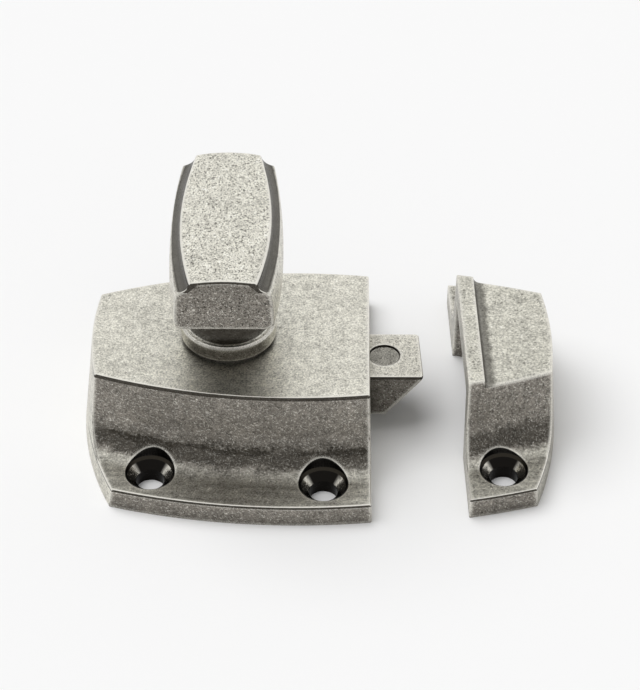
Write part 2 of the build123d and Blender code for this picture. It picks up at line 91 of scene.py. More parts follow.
forward = Vector((
    math.sin(LOOK_ASIDE) * math.cos(LOOK_DOWN),
    math.cos(LOOK_ASIDE) * math.cos(LOOK_DOWN),
    -math.sin(LOOK_DOWN),
))
level_right = Vector((math.cos(LOOK_ASIDE), -math.sin(LOOK_ASIDE), 0))
level_up = level_right.cross(forward)
right = level_right * math.cos(ROLL) + level_up * math.sin(ROLL)
up = level_up * math.cos(ROLL) - level_right * math.sin(ROLL)

camera_data = bpy.data.cameras.new("camera")
camera_data.sensor_width = SENSOR
camera_data.lens = FOCAL_PIXELS * SENSOR / LONG_SIDE_PIXELS
camera_data.clip_start = 0.01
camera_data.clip_end = 20
camera = bpy.data.objects.new("camera", camera_data)
bpy.context.scene.collection.objects.link(camera)
camera.matrix_world = Matrix.Translation(CAMERA_PLACE) @ Matrix((right, up, -forward)).transposed().to_4x4()
bpy.context.scene.camera = camera
print("lens", round(camera_data.lens, 2), "mm")

# %% [markdown]
# The bolt's spring sits in the case behind the bolt and is hidden until the back plate is off. When the
# knob draws the bolt back, the coil is pressed to about two fifths of its length. The coil is made by
# spinning a small circle round the spring's axis with a step along it, which is the screw move of the spin
# operator, and then it is fixed to the case.

# %% Bolt spring
COIL_TURNS = 7.5
STEPS_PER_TURN = 24
WIRE_SIDES = 10
WIRE_RADIUS = 0.225 * MM
COIL_RADIUS = 2.4 * MM

spring_low, spring_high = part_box("bolt_spring")
spring_axis_z = (spring_low.z + spring_high.z) / 2
coil_length = spring_high.x - spring_low.x - 2 * WIRE_RADIUS


def bolt_spring_mesh():
    coil = bmesh.new()
    start = Vector((spring_low.x + WIRE_RADIUS, 0, spring_axis_z))
    ring = bmesh.ops.create_circle(coil, segments=WIRE_SIDES, radius=WIRE_RADIUS)["verts"]
    bmesh.ops.translate(coil, verts=ring, vec=start + Vector((0, 0, COIL_RADIUS)))
    bmesh.ops.rotate(coil, verts=ring, cent=start + Vector((0, 0, COIL_RADIUS)),
                     matrix=Matrix.Rotation(math.radians(90), 3, "X"))
    steps = round(COIL_TURNS * STEPS_PER_TURN)
    bmesh.ops.spin(coil, geom=coil.verts[:] + coil.edges[:], cent=start, axis=(1, 0, 0),
                   dvec=(coil_length / steps, 0, 0), angle=math.tau * COIL_TURNS, steps=steps,
                   use_merge=False)
    open_ends = [edge for edge in coil.edges if edge.is_boundary]
    bmesh.ops.holes_fill(coil, edges=open_ends, sides=WIRE_SIDES)
    bmesh.ops.recalc_face_normals(coil, faces=coil.faces[:])
    mesh = bpy.data.meshes.new("bolt_spring_coil")
    coil.to_mesh(mesh)
    coil.free()
    mesh.shade_smooth()
    return mesh


bolt_spring_coil = bpy.data.objects.new("bolt_spring_coil", bolt_spring_mesh())
bpy.context.scene.collection.objects.link(bolt_spring_coil)
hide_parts("bolt_spring")
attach(bolt_spring_coil, "case")
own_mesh(bolt_spring_coil)
print("spring", len(bolt_spring_coil.data.polygons), "faces")

# %% [markdown]
# Antique pewter is a pale nickel plate on a casting, blackened and then tumbled and rubbed back. The
# rubbing reaches the faces that look outwards from the door and every sharp edge, and leaves the dark in
# the coves, on the steep sides and in the pits of the casting. So the finish is one recipe: a pale metal
# and a dark one, and masks that say where each of them shows. Several masks also paint light and shade into
# the colour: lit tops, shaded fronts, shade in the coves, in the corners and under the collar, and
# highlights on the edges and in the countersinks. A picture of the surface would be one way, but masks
# worked out from the shape itself fit any casting of the set and never stretch.
#
# Each mask that more than one finish uses is a node group. A small helper adds a node, fills its inputs
# and joins its links in one line.

# %% Helpers for node trees
def node(tree, kind, inputs=None, **settings):
    made = tree.nodes.new(kind)
    for setting, value in settings.items():
        setattr(made, setting, value)
    for name, value in (inputs or {}).items():
        if isinstance(value, bpy.types.NodeSocket):
            tree.links.new(value, made.inputs[name])
        else:
            made.inputs[name].default_value = value
    return made


def maths(tree, operation, first, second=0.0):
    return node(tree, "ShaderNodeMath", {0: first, 1: second}, operation=operation).outputs[0]


def step_up(tree, value, low, high):
    """0 below low, 1 above high, and a smooth rise between them."""
    made = node(tree, "ShaderNodeMapRange", {"Value": value, "From Min": low, "From Max": high},
                interpolation_type="SMOOTHSTEP")
    return made.outputs["Result"]


# The Mix node has inputs A and B for each kind of data, so the colours' own are found by number.
MIX_COLOUR_INPUTS = (6, 7)
MIX_COLOUR_RESULT = 2


def blend_colours(tree, share, first, second, blend_type="MIX"):
    made = node(tree, "ShaderNodeMix", {"Factor": share}, data_type="RGBA", blend_type=blend_type)
    for number, value in zip(MIX_COLOUR_INPUTS, (first, second)):
        if isinstance(value, bpy.types.NodeSocket):
            tree.links.new(value, made.inputs[number])
        else:
            made.inputs[number].default_value = (*value, 1)
    return made.outputs[MIX_COLOUR_RESULT]


def parts_of(tree, vector):
    """The X, Y and Z of a vector."""
    return node(tree, "ShaderNodeSeparateXYZ", {0: vector}).outputs


def mapped(tree, vector, **changes):
    """A vector moved, turned or scaled by the Mapping node."""
    return node(tree, "ShaderNodeMapping", {"Vector": vector, **changes}).outputs[0]


def noise(tree, position, grain, detail=2.0, roughness=0.5, distortion=0.0):
    """Noise whose spots are about grain metres across."""
    made = node(tree, "ShaderNodeTexNoise", {
        "Vector": position, "Scale": 1.0, "Detail": detail, "Roughness": roughness,
        "Distortion": distortion})
    if isinstance(grain, bpy.types.NodeSocket):
        tree.links.new(maths(tree, "DIVIDE", 1.0, grain), made.inputs["Scale"])
    else:
        made.inputs["Scale"].default_value = 1 / grain
    return made.outputs["Fac"]


def about_zero(tree, value):
    """Noise swings about one half. This moves it to swing about zero."""
    return maths(tree, "SUBTRACT", value, 0.5)


def new_group(name, inputs, outputs):
    """Shader node group with its sockets: inputs is name to (type, value), outputs is name to type."""
    tree = bpy.data.node_groups.new(name, "ShaderNodeTree")
    for socket, (kind, value) in inputs.items():
        made = tree.interface.new_socket(socket, in_out="INPUT", socket_type=kind)
        if value is not None:
            made.default_value = value
    for socket, kind in outputs.items():
        tree.interface.new_socket(socket, in_out="OUTPUT", socket_type=kind)
    return tree, tree.nodes.new("NodeGroupInput").outputs, tree.nodes.new("NodeGroupOutput").inputs


def use_group(tree, group, **inputs):
    made = node(tree, "ShaderNodeGroup", node_tree=group)
    for name, value in inputs.items():
        socket = made.inputs[name.replace("_", " ")]
        if isinstance(value, bpy.types.NodeSocket):
            tree.links.new(value, socket)
        else:
            socket.default_value = value
    return made.outputs


FLOAT = "NodeSocketFloat"
VECTOR = "NodeSocketVector"
print("helpers ready")

# %% [markdown]
# The first group is the grain of a tumbled casting. Seen close, the metal is peppered: light and dark
# spots a few tenths of a millimetre across, pits that hold the black, bright flecks where a crest was
# polished, and wide soft clouds where the rubbing took off a little more. Noises of five sizes give that,
# and all of them are multiples of one grain size, so a coarser casting needs only one other number.

# %% Group: tumbled grain
PATCH_GRAINS = 4.0
CLOUD_GRAINS = 18.0
PIT_GRAINS = 1.5
FLECK_GRAINS = 1.2
PATCH_SHARE = 0.9
CLOUD_SHARE = 0.6
PIT_RIM = 0.06
PIT_DEPTH = 0.6
FLECK_CRESTS = (0.6, 0.68)


def tumbled_grain():
    tree, given, result = new_group(
        "tumbled_grain",
        {"Position": (VECTOR, None), "Grain": (FLOAT, 0.3 * MM), "Contrast": (FLOAT, 2.0),
         "Pits": (FLOAT, 0.6)},
        {"Tone": FLOAT, "Pits": FLOAT, "Flecks": FLOAT, "Height": FLOAT},
    )

    def layer(grains, detail, roughness=0.5):
        size = maths(tree, "MULTIPLY", given["Grain"], grains)
        return noise(tree, given["Position"], size, detail, roughness)

    fine = noise(tree, given["Position"], given["Grain"], 3.0, 0.65)
    patches = layer(PATCH_GRAINS, 2.0, 0.6)
    clouds = layer(CLOUD_GRAINS, 3.0, 0.6)
    pepper = maths(tree, "MULTIPLY", about_zero(tree, fine), given["Contrast"])
    mottle = maths(tree, "MULTIPLY", about_zero(tree, patches), PATCH_SHARE)
    cloudy = maths(tree, "MULTIPLY", about_zero(tree, clouds), CLOUD_SHARE)
    tone = maths(tree, "ADD", maths(tree, "ADD", pepper, mottle), maths(tree, "ADD", cloudy, 1.0))
    pit_rim = maths(tree, "ADD", given["Pits"], PIT_RIM)
    pits = step_up(tree, layer(PIT_GRAINS, 2.0, 0.6), given["Pits"], pit_rim)
    flecks = step_up(tree, layer(FLECK_GRAINS, 2.0), *FLECK_CRESTS)
    tree.links.new(tone, result["Tone"])
    tree.links.new(pits, result["Pits"])
    tree.links.new(flecks, result["Flecks"])
    height = maths(tree, "SUBTRACT", fine, maths(tree, "MULTIPLY", pits, PIT_DEPTH))
    tree.links.new(height, result["Height"])
    return tree


GRAIN_GROUP = tumbled_grain()
print("group", GRAIN_GROUP.name)

# %% [markdown]
# Tumbling leaves hair-fine scratches in every direction. Noise on coordinates that are squeezed one way
# and stretched the other makes streaks, and only its highest crests are kept, so the streaks become
# short thin lines. Two layers at different angles keep them from looking combed.

# %% Group: fine scratches
SCRATCH_TURNS = ((0.3, 0.2, 0.5), (-0.6, 0.4, 1.9))
SCRATCH_STRETCH = (1.0, 0.07, 0.4)
SCRATCH_RIM = 0.05


def fine_scratches():
    tree, given, result = new_group(
        "fine_scratches",
        {"Position": (VECTOR, None), "Width": (FLOAT, 0.12 * MM), "Amount": (FLOAT, 0.64)},
        {"Scratches": FLOAT},
    )
    crest = maths(tree, "ADD", given["Amount"], SCRATCH_RIM)
    layers = []
    for turn in SCRATCH_TURNS:
        stretched = mapped(tree, mapped(tree, given["Position"], Rotation=turn), Scale=SCRATCH_STRETCH)
        streaks = noise(tree, stretched, given["Width"], 1.0, 0.5, 0.3)
        layers.append(step_up(tree, streaks, given["Amount"], crest))
    tree.links.new(maths(tree, "MAXIMUM", *layers), result["Scratches"])
    return tree


SCRATCH_GROUP = fine_scratches()
print("group", SCRATCH_GROUP.name)

# %% [markdown]
# Edges are rubbed bright, and the same bright colour also paints the highlight that a rounded edge would
# catch. The Bevel node gives the normal that a small rounding would have, and where it differs from the
# real normal there is an edge. Inner corners differ too, so the mask is held back where little light gets
# in, which the Ambient Occlusion node tells. The same node with a longer reach says where the colour is
# darkened: in the corners, inside the coves and under the collar. This is partly the black that stays in
# hollows and partly painted shade.

# %% Groups: rubbed edges with painted highlights, and black and painted shade in corners
EDGE_SAMPLES = 4
CHIP_SIZE = 0.9 * MM
CHIP_CRESTS = (0.25, 0.5)
EDGE_AIR_REACH = 1.5 * MM
EDGE_AIR = (0.6, 0.85)
CORNER_SAMPLES = 6
CORNER_SPOT_SIZE = 1.2 * MM
CORNER_SPOT_SHARE = 0.3


# Bright edges: real rubbing, and also a painted highlight where a rounded edge would catch the light.
def rubbed_and_highlit_edges():
    tree, given, result = new_group(
        "rubbed_and_highlit_edges",
        {"Position": (VECTOR, None), "Reach": (FLOAT, 0.9 * MM), "Strength": (FLOAT, 13.0)},
        {"Edges": FLOAT},
    )
    rounded = node(tree, "ShaderNodeBevel", {"Radius": given["Reach"]}, samples=EDGE_SAMPLES).outputs[0]
    real = node(tree, "ShaderNodeNewGeometry").outputs["Normal"]
    alike = node(tree, "ShaderNodeVectorMath", {0: rounded, 1: real}, operation="DOT_PRODUCT")
    bend = maths(tree, "SUBTRACT", 1.0, alike.outputs["Value"])
    bend = maths(tree, "MULTIPLY", bend, given["Strength"])
    chips = step_up(tree, noise(tree, given["Position"], CHIP_SIZE, 2.0, 0.6), *CHIP_CRESTS)
    open_air = node(tree, "ShaderNodeAmbientOcclusion", {"Distance": EDGE_AIR_REACH}, samples=EDGE_SAMPLES)
    outer = step_up(tree, open_air.outputs["AO"], *EDGE_AIR)
    edges = maths(tree, "MULTIPLY", maths(tree, "MULTIPLY", bend, chips), outer)
    tree.links.new(node(tree, "ShaderNodeClamp", {"Value": edges}).outputs[0], result["Edges"])
    return tree


# Darkens where little light gets in: black kept in hollows, and painted shade in the corners, the coves and
# under the collar.
def dark_in_corners():
    tree, given, result = new_group(
        "dark_in_corners",
        {"Position": (VECTOR, None), "Reach": (FLOAT, 4 * MM), "Low": (FLOAT, 0.35), "High": (FLOAT, 0.8)},
        {"Dark": FLOAT},
    )
    open_air = node(tree, "ShaderNodeAmbientOcclusion", {"Distance": given["Reach"]},
                    samples=CORNER_SAMPLES)
    spots = about_zero(tree, noise(tree, given["Position"], CORNER_SPOT_SIZE, 3.0))
    ragged = maths(tree, "ADD", open_air.outputs["AO"], maths(tree, "MULTIPLY", spots, CORNER_SPOT_SHARE))
    tree.links.new(step_up(tree, ragged, given["High"], given["Low"]), result["Dark"])
    return tree


EDGE_GROUP = rubbed_and_highlit_edges()
CORNER_GROUP = dark_in_corners()
print("groups", EDGE_GROUP.name, CORNER_GROUP.name)

# %% [markdown]
# Now the pewter itself, and first the question of where it is pale. On these castings the faces that look
# out from the door and those that look along the bolt's way are pale, and the bowed front and back faces
# are dark. This is partly the rubbing, and partly painted light on the tops and ends and painted shade on
# the fronts. The object's own normal says which face is which, so the finish stays on the piece when the
# piece turns. A long flange is painted darker in its middle, as painted shade and a painted dark reflection
# there, and paler at its ends.
#
# In the cove at the foot of the case the colour is a wide soft painted shade on the steep part, with a
# ragged black line along its upper side, and long faint streaks where the cove runs out into the flange.
# This stands partly for the black kept in the cove and partly for the shade and the dark reflection there.

# %% Where the pewter is pale, where it is black, and where light and shade are painted
# Each pair of slopes is a part of the normal, which is 1 on a face that looks straight along the axis.
TOP_SLOPES = (0.6, 0.96)
FLANGE_SLOPES = (0.84, 0.985)
END_SLOPES = (0.7, 0.93)
FLANGE_ENDS = (4 * MM, 18 * MM)
COVE_RISE = 6.2 * MM
COVE_BORDER = 0.05 * MM
COVE_RUN_OUT = 1 * MM
COVE_SHADE = 0.78
SHADE_BEGINS = (0.15, 0.62)
SHADE_ENDS = (0.8, 0.96)
DRIFT_SHARE = 0.4
GRIT_SHARE = 0.22
COVE_LINE = 0.95
LINE_SLOPES = (0.53, 0.66)
LINE_SOFT = 0.08
LINE_BREAKS = (0.3, 0.55)
COVE_STREAKS = 0.34
STREAK_CRESTS = (0.4, 0.7)
STREAK_SLOPES = (0.88, 0.96)


def between(tree, value, low, high, soft):
    """1 where the value lies between low and high, with soft borders outside them."""
    rise = step_up(tree, value, low - soft, low)
    fall = step_up(tree, value, high + soft, high)
    return maths(tree, "MULTIPLY", rise, fall)


def open_ends_of(tree, position, middle_x):
    """0 in the middle of a long flange and 1 at its two ends."""
    along = parts_of(tree, position)["X"]
    away = maths(tree, "ABSOLUTE", maths(tree, "SUBTRACT", along, middle_x))
    return step_up(tree, away, *FLANGE_ENDS)


def pale_faces(tree, normal, height, flange_top, flange_share, end_pale):
    """Share of the pale metal, from the normal's parts and the height above the door: the rubbed finish,
    with painted light on tops and ends and painted shade on fronts.
    """
    top = step_up(tree, normal["Z"], *TOP_SLOPES)
    if flange_top:
        cove_top = flange_top + COVE_RISE
        lifted = step_up(tree, height, cove_top, cove_top + COVE_RUN_OUT)
        on_flange = maths(tree, "MULTIPLY", step_up(tree, normal["Z"], *FLANGE_SLOPES), flange_share)
        top = maths(tree, "MAXIMUM", maths(tree, "MULTIPLY", top, lifted), on_flange)
    aside = maths(tree, "ABSOLUTE", normal["X"])
    ends = maths(tree, "MULTIPLY", step_up(tree, aside, *END_SLOPES), end_pale)
    return maths(tree, "MAXIMUM", top, ends)


def wandering_slope(tree, position, drawn_out, slope):
    """The slope with noise added, so that what is painted by slope gets ragged borders."""
    drift = about_zero(tree, noise(tree, drawn_out, 1.6 * MM, 3.0, 0.6))
    grit = about_zero(tree, noise(tree, position, 0.5 * MM, 2.0))
    drift = maths(tree, "MULTIPLY", drift, DRIFT_SHARE)
    grit = maths(tree, "MULTIPLY", grit, GRIT_SHARE)
    return maths(tree, "ADD", slope, maths(tree, "ADD", drift, grit))


def black_and_shade_in_cove(tree, position, normal, height, flange_top):
    """Painted soft shade with a ragged upper line on the cove's slope, and streaks at its foot."""
    low = between(tree, height, flange_top, flange_top + COVE_RISE, COVE_BORDER)
    drawn_out = mapped(tree, position, Scale=(0.3, 1.0, 1.0))
    slope = wandering_slope(tree, position, drawn_out, normal["Z"])
    begins = step_up(tree, slope, *SHADE_BEGINS)
    ends = step_up(tree, slope, *reversed(SHADE_ENDS))
    shade = maths(tree, "MULTIPLY", maths(tree, "MULTIPLY", begins, ends), COVE_SHADE)
    breaks = step_up(tree, noise(tree, drawn_out, 3.5 * MM, 2.0), *LINE_BREAKS)
    line = maths(tree, "MULTIPLY", between(tree, slope, *LINE_SLOPES, LINE_SOFT), COVE_LINE)
    line = maths(tree, "MULTIPLY", line, breaks)
    pulled = mapped(tree, position, Scale=(0.08, 1.0, 1.0))
    streaks = step_up(tree, noise(tree, pulled, 0.8 * MM, 3.0, 0.6), *STREAK_CRESTS)
    streaks = maths(tree, "MULTIPLY", streaks, COVE_STREAKS)
    foot = maths(tree, "MULTIPLY", step_up(tree, normal["Z"], *STREAK_SLOPES), streaks)
    return maths(tree, "MULTIPLY", maths(tree, "MAXIMUM", maths(tree, "MAXIMUM", shade, line), foot), low)


print("black share of the cove", COVE_SHADE, "and of the line over it", COVE_LINE)

# %% [markdown]
# Under each bright front edge of the real casting runs a thin dark line: the lower half of the rounding
# turns away from the light and lies in shade, and the upper half catches the light. So the same rounding is
# found by its normal, in the few height bands where such edges are. Its lower half gets painted shade and
# is kept out of the bright edges, and its upper half gets a painted highlight. Roundings that look along X,
# at the ends of a casting, get a painted highlight all over.
#
# Some places have a finish of their own. The countersinks and the grooves of the handle were never reached
# by the rubbing, and stay black and smooth. The neck is painted black and smooth as the shade under the
# handle, and the small cove beside the strike's rib is black, widened by painted shade. Each piece makes
# such a mask for itself and says which colour it shows and how strongly.

# %% Antique pewter
PALE = (0.665, 0.648, 0.572)
DARK = (0.222, 0.205, 0.179)
BLACK = (0.032, 0.028, 0.022)
TAR = (0.010, 0.009, 0.008)
BRIGHT = (0.86, 0.84, 0.77)
BAND_BORDER = 0.02 * MM
FRONT_EDGES = (0.08, 0.2)
END_EDGES = (0.3, 0.36)
# Low and high part of the normal along Z, and the softness of the borders.
LOWER_HALF = (0.0, 0.72, 0.08)
UPPER_HALF = (0.8, 0.985, 0.05)
END_ROUNDING = (0.4, 0.92, 0.03)
FLECK_SHARE = 0.22
SCRATCH_SHARE = 0.5
HIDDEN_IN_COVE = 0.8
CORNER_BLACK = 0.7
CORNER_RUBBED = 0.35
# Shares of the painted shade under an edge's rounding and of the painted highlight on it.
EDGE_SHADE_SHARE = 0.85
EDGE_HIGHLIGHT_SHARE = 0.85
ROUGHNESS = 0.46
SMOOTHER_PALE = 0.1
SMOOTHER_PLACES = 0.16
SMOOTHER_EDGES = 0.1


def new_material(name):
    material = bpy.data.materials.new(name)
    material.use_nodes = True
    tree = material.node_tree
    tree.nodes.clear()
    shader = node(tree, "ShaderNodeBsdfPrincipled")
    node(tree, "ShaderNodeOutputMaterial", {"Surface": shader.outputs["BSDF"]})
    place = node(tree, "ShaderNodeTexCoord").outputs
    return material, tree, shader, place


def grey_of(tree, value):
    parts = {"Red": value, "Green": value, "Blue": value}
    return node(tree, "ShaderNodeCombineColor", parts).outputs[0]


def all_but(tree, mask, share=1.0):
    """What is left of 1 when a share of the mask is taken away."""
    return maths(tree, "SUBTRACT", 1.0, maths(tree, "MULTIPLY", mask, share))


def edge_shade_and_highlight(tree, normal, height, bands):
    """Masks of the painted shade and of the painted highlight on the roundings in the height bands."""
    inside = None
    for low, high in bands:
        band = between(tree, height, low * MM, high * MM, BAND_BORDER)
        inside = band if inside is None else maths(tree, "MAXIMUM", inside, band)
    in_front = step_up(tree, maths(tree, "ABSOLUTE", normal["Y"]), *FRONT_EDGES)
    in_front = maths(tree, "MULTIPLY", in_front, inside)
    at_end = step_up(tree, maths(tree, "ABSOLUTE", normal["X"]), *END_EDGES)
    at_end = maths(tree, "MULTIPLY", inside, at_end)
    lower_half = maths(tree, "MULTIPLY", in_front, between(tree, normal["Z"], *LOWER_HALF))
    upper_half = maths(tree, "MULTIPLY", in_front, between(tree, normal["Z"], *UPPER_HALF))
    end_edge = maths(tree, "MULTIPLY", at_end, between(tree, normal["Z"], *END_ROUNDING))
    return lower_half, maths(tree, "MAXIMUM", upper_half, end_edge)


def finish_metal(tree, shader, colour, roughness, height, bump_strength, bump_depth):
    """Joins the layers to a metal shader, with the grain's height as bumps."""
    tree.links.new(colour, shader.inputs["Base Color"])
    tree.links.new(roughness, shader.inputs["Roughness"])
    shader.inputs["Metallic"].default_value = 1.0
    bump = node(tree, "ShaderNodeBump", {
        "Height": height, "Strength": bump_strength, "Distance": bump_depth}).outputs[0]
    tree.links.new(bump, shader.inputs["Normal"])


def antique_pewter(name, edge_bands, grain=0.33 * MM, contrast=2.0, pits=0.6, pit_black=0.6,
                   flange_top=None, flange_pale=(0.6, 0.6), middle_x=0.0, end_pale=0.85,
                   pale_metal=PALE, places=()):
    """Rubbed pewter for one casting.

    flange_pale is the pale share in a flange's middle and at its ends, and end_pale that of the faces
    that look along X. places is a list of (mask, colour, share), where mask is a function of the tree
    and the texture coordinates.
    """
    material, tree, shader, place = new_material(name)
    position = place["Object"]
    height = parts_of(tree, position)["Z"]
    normal = parts_of(tree, place["Normal"])
    speckle = use_group(tree, GRAIN_GROUP, Position=position, Grain=grain, Contrast=contrast, Pits=pits)
    scratches = use_group(tree, SCRATCH_GROUP, Position=position)["Scratches"]
    corners = use_group(tree, CORNER_GROUP, Position=position)["Dark"]
    edges = use_group(tree, EDGE_GROUP, Position=position)["Edges"]

    flange_share = None
    if flange_top:
        in_middle, at_ends = flange_pale
        open_ends = open_ends_of(tree, position, middle_x)
        flange_share = maths(tree, "MULTIPLY", open_ends, at_ends - in_middle)
        flange_share = maths(tree, "ADD", flange_share, in_middle)
    # The pale share paints light on the tops and ends and shade on the front and back faces, over the
    # rubbed finish.
    pale = pale_faces(tree, normal, height, flange_top, flange_share, end_pale)
    colour = blend_colours(tree, pale, DARK, pale_metal)
    flecks = maths(tree, "MULTIPLY", speckle["Flecks"], FLECK_SHARE)
    hairlines = maths(tree, "MULTIPLY", scratches, SCRATCH_SHARE)
    if flange_top:
        # Painted shade in the cove, over the black kept there.
        cove = black_and_shade_in_cove(tree, position, normal, height, flange_top)
        colour = blend_colours(tree, cove, colour, BLACK)
        outside = all_but(tree, cove, HIDDEN_IN_COVE)
        flecks = maths(tree, "MULTIPLY", flecks, outside)
        hairlines = maths(tree, "MULTIPLY", hairlines, outside)
    colour = blend_colours(tree, flecks, colour, BRIGHT)
    colour = blend_colours(tree, maths(tree, "MULTIPLY", speckle["Pits"], pit_black), colour, BLACK)
    colour = blend_colours(tree, hairlines, colour, BRIGHT)
    colour = blend_colours(tree, 1.0, colour, grey_of(tree, speckle["Tone"]), "MULTIPLY")
    # Darker where little light gets in: black kept in hollows together with painted shade, held back on
    # pale faces.
    held = maths(tree, "ADD", maths(tree, "MULTIPLY", pale, -CORNER_RUBBED), CORNER_BLACK)
    colour = blend_colours(tree, maths(tree, "MULTIPLY", corners, held), colour, BLACK)

    # Painted shade on the lower half of each edge's rounding, and a painted highlight on its upper half.
    edge_shade, edge_highlight = edge_shade_and_highlight(tree, normal, height, edge_bands)
    edge_highlight = maths(tree, "MULTIPLY", edge_highlight, EDGE_HIGHLIGHT_SHARE)
    # Rubbed edges with a painted highlight, kept off the painted shade under the edges.
    worn_and_highlit = maths(tree, "MULTIPLY", edges, all_but(tree, edge_shade))
    worn_and_highlit = maths(tree, "MAXIMUM", worn_and_highlit, edge_highlight)
    roughness = maths(tree, "ADD", maths(tree, "MULTIPLY", pale, -SMOOTHER_PALE), ROUGHNESS)
    for mask_of, shown, share in places:
        mask = maths(tree, "MULTIPLY", mask_of(tree, place), share)
        colour = blend_colours(tree, mask, colour, shown)
        roughness = maths(tree, "ADD", roughness, maths(tree, "MULTIPLY", mask, -SMOOTHER_PLACES))
        worn_and_highlit = maths(tree, "MULTIPLY", worn_and_highlit, all_but(tree, mask))
    colour = blend_colours(tree, maths(tree, "MULTIPLY", edge_shade, EDGE_SHADE_SHARE), colour, BLACK)
    colour = blend_colours(tree, worn_and_highlit, colour, BRIGHT)
    roughness = maths(tree, "ADD", roughness, maths(tree, "MULTIPLY", worn_and_highlit, -SMOOTHER_EDGES))
    finish_metal(tree, shader, colour, roughness, speckle["Height"], 0.45, 0.05 * MM)
    return material


def cover(piece, material):
    """Puts one material on every slot of an object."""
    slots = piece.data.materials
    if not slots:
        slots.append(None)
    for number in range(len(slots)):
        slots[number] = material
    print(piece.name, "has", material.name)


print("pewter colours", PALE, DARK)

# %% [markdown]
# The case has four countersunk holes in its flanges. A countersink is a cone, and its mask is simply
# everything within the screw head's radius of the hole's axis. The left and the right of each cone get a
# painted highlight, so a second mask finds the cone by its normal, which leans along X there.
#
# The strike is finished in the same way and has one hole in each flange. It lies a little askew, so the
# small cove beside its rib is measured in the strike's own place, which the Mapping node finds by undoing
# the shift and the turn. The sizes of the castings are written in millimetres and the turn in degrees.

# %% Case and strike
FLANGE_TOP = 3.75
FLANGE_ROUNDING = 0.4
CASE_TOP = 16.0
CASE_ROUNDING = 0.65
STRIKE_TOP = 15.3
STRIKE_X = 36.55
STRIKE_Y = 0.92
STRIKE_TURN = 2.35
RIB_RIGHT = 2.94
RIB_COVE = 1.25
# Colour of the painted highlights in the countersinks.
CONE_HIGHLIGHT = (0.78, 0.75, 0.67)
CASE_HOLES = ((-12.0, -18.9), (-12.0, 18.9), (15.0, -21.4), (15.0, 21.4))
CASE_HOLE_RADIUS = 3.93
STRIKE_HOLES = ((43.13, -18.03), (41.56, 20.34))
STRIKE_HOLE_RADIUS = 3.83
CONE_HIGHLIGHT_INSET = 0.43


def away_from_axis(tree, position, x=0.0, y=0.0):
    """Distance from an upright axis at x, y."""
    flat = mapped(tree, position, Location=(-x * MM, -y * MM, 0), Scale=(1, 1, 0))
    return node(tree, "ShaderNodeVectorMath", {0: flat}, operation="LENGTH").outputs["Value"]


def countersinks(holes, radius):
    """Mask of everything within a radius of the holes' axes."""
    def mask(tree, place):
        found = None
        for x, y in holes:
            away = away_from_axis(tree, place["Object"], x, y)
            inside = step_up(tree, away, (radius + 0.05) * MM, (radius - 0.1) * MM)
            found = inside if found is None else maths(tree, "MAXIMUM", found, inside)
        return found
    return mask


def cone_highlights(holes, radius):
    """Mask of a painted highlight on the left and the right of each countersink's cone."""
    def mask(tree, place):
        normal = parts_of(tree, place["Normal"])
        sideways = step_up(tree, maths(tree, "ABSOLUTE", normal["X"]), 0.45, 0.66)
        on_cone = between(tree, normal["Z"], 0.6, 0.8, 0.1)
        cloudy = step_up(tree, noise(tree, place["Object"], 1.1 * MM, 2.0), 0.2, 0.5)
        spots = maths(tree, "MULTIPLY", maths(tree, "MULTIPLY", sideways, on_cone), cloudy)
        return maths(tree, "MULTIPLY", spots, countersinks(holes, radius)(tree, place))
    return mask


def cove_beside_rib(tree, place):
    """Mask of the cove between the strike's rib and its flat top, ragged towards the top: black kept in the
    cove, widened by painted shade.
    """
    own = node(tree, "ShaderNodeMapping", {
        "Vector": place["Object"], "Location": (STRIKE_X * MM, STRIKE_Y * MM, 0),
        "Rotation": (0, 0, math.radians(STRIKE_TURN))}, vector_type="TEXTURE").outputs[0]
    xyz = parts_of(tree, own)
    spots = about_zero(tree, noise(tree, place["Object"], 1.5 * MM, 3.0))
    across = maths(tree, "ADD", xyz["X"], maths(tree, "MULTIPLY", spots, 1.2 * MM))
    cove_right = RIB_RIGHT + RIB_COVE
    left_side = step_up(tree, xyz["X"], (RIB_RIGHT - 0.15) * MM, RIB_RIGHT * MM)
    right_side = step_up(tree, across, (cove_right + 0.9) * MM, (cove_right - 0.1) * MM)
    strip = maths(tree, "MULTIPLY", left_side, right_side)
    below_crest = step_up(tree, xyz["Z"], (STRIKE_TOP + 1.15) * MM, (STRIKE_TOP + 1.0) * MM)
    above_top = step_up(tree, xyz["Z"], (STRIKE_TOP - 0.3) * MM, (STRIKE_TOP - 0.1) * MM)
    return maths(tree, "MULTIPLY", strip, maths(tree, "MULTIPLY", below_crest, above_top))


flange_edge = (FLANGE_TOP - FLANGE_ROUNDING, FLANGE_TOP - 0.01)
case_edge = (CASE_TOP - CASE_ROUNDING, CASE_TOP)
# The case's flange is painted darker in its middle than at its ends, as shade.
cover(frame["nodes"]["case"], antique_pewter(
    "pewter_case", (flange_edge, case_edge), flange_top=FLANGE_TOP * MM, flange_pale=(0.38, 0.82),
    middle_x=1.2 * MM, grain=0.29 * MM, contrast=1.9, pit_black=0.4,
    places=[(countersinks(CASE_HOLES, CASE_HOLE_RADIUS), TAR, 1.0),
            (cone_highlights(CASE_HOLES, CASE_HOLE_RADIUS - CONE_HIGHLIGHT_INSET), CONE_HIGHLIGHT, 1.0)]))
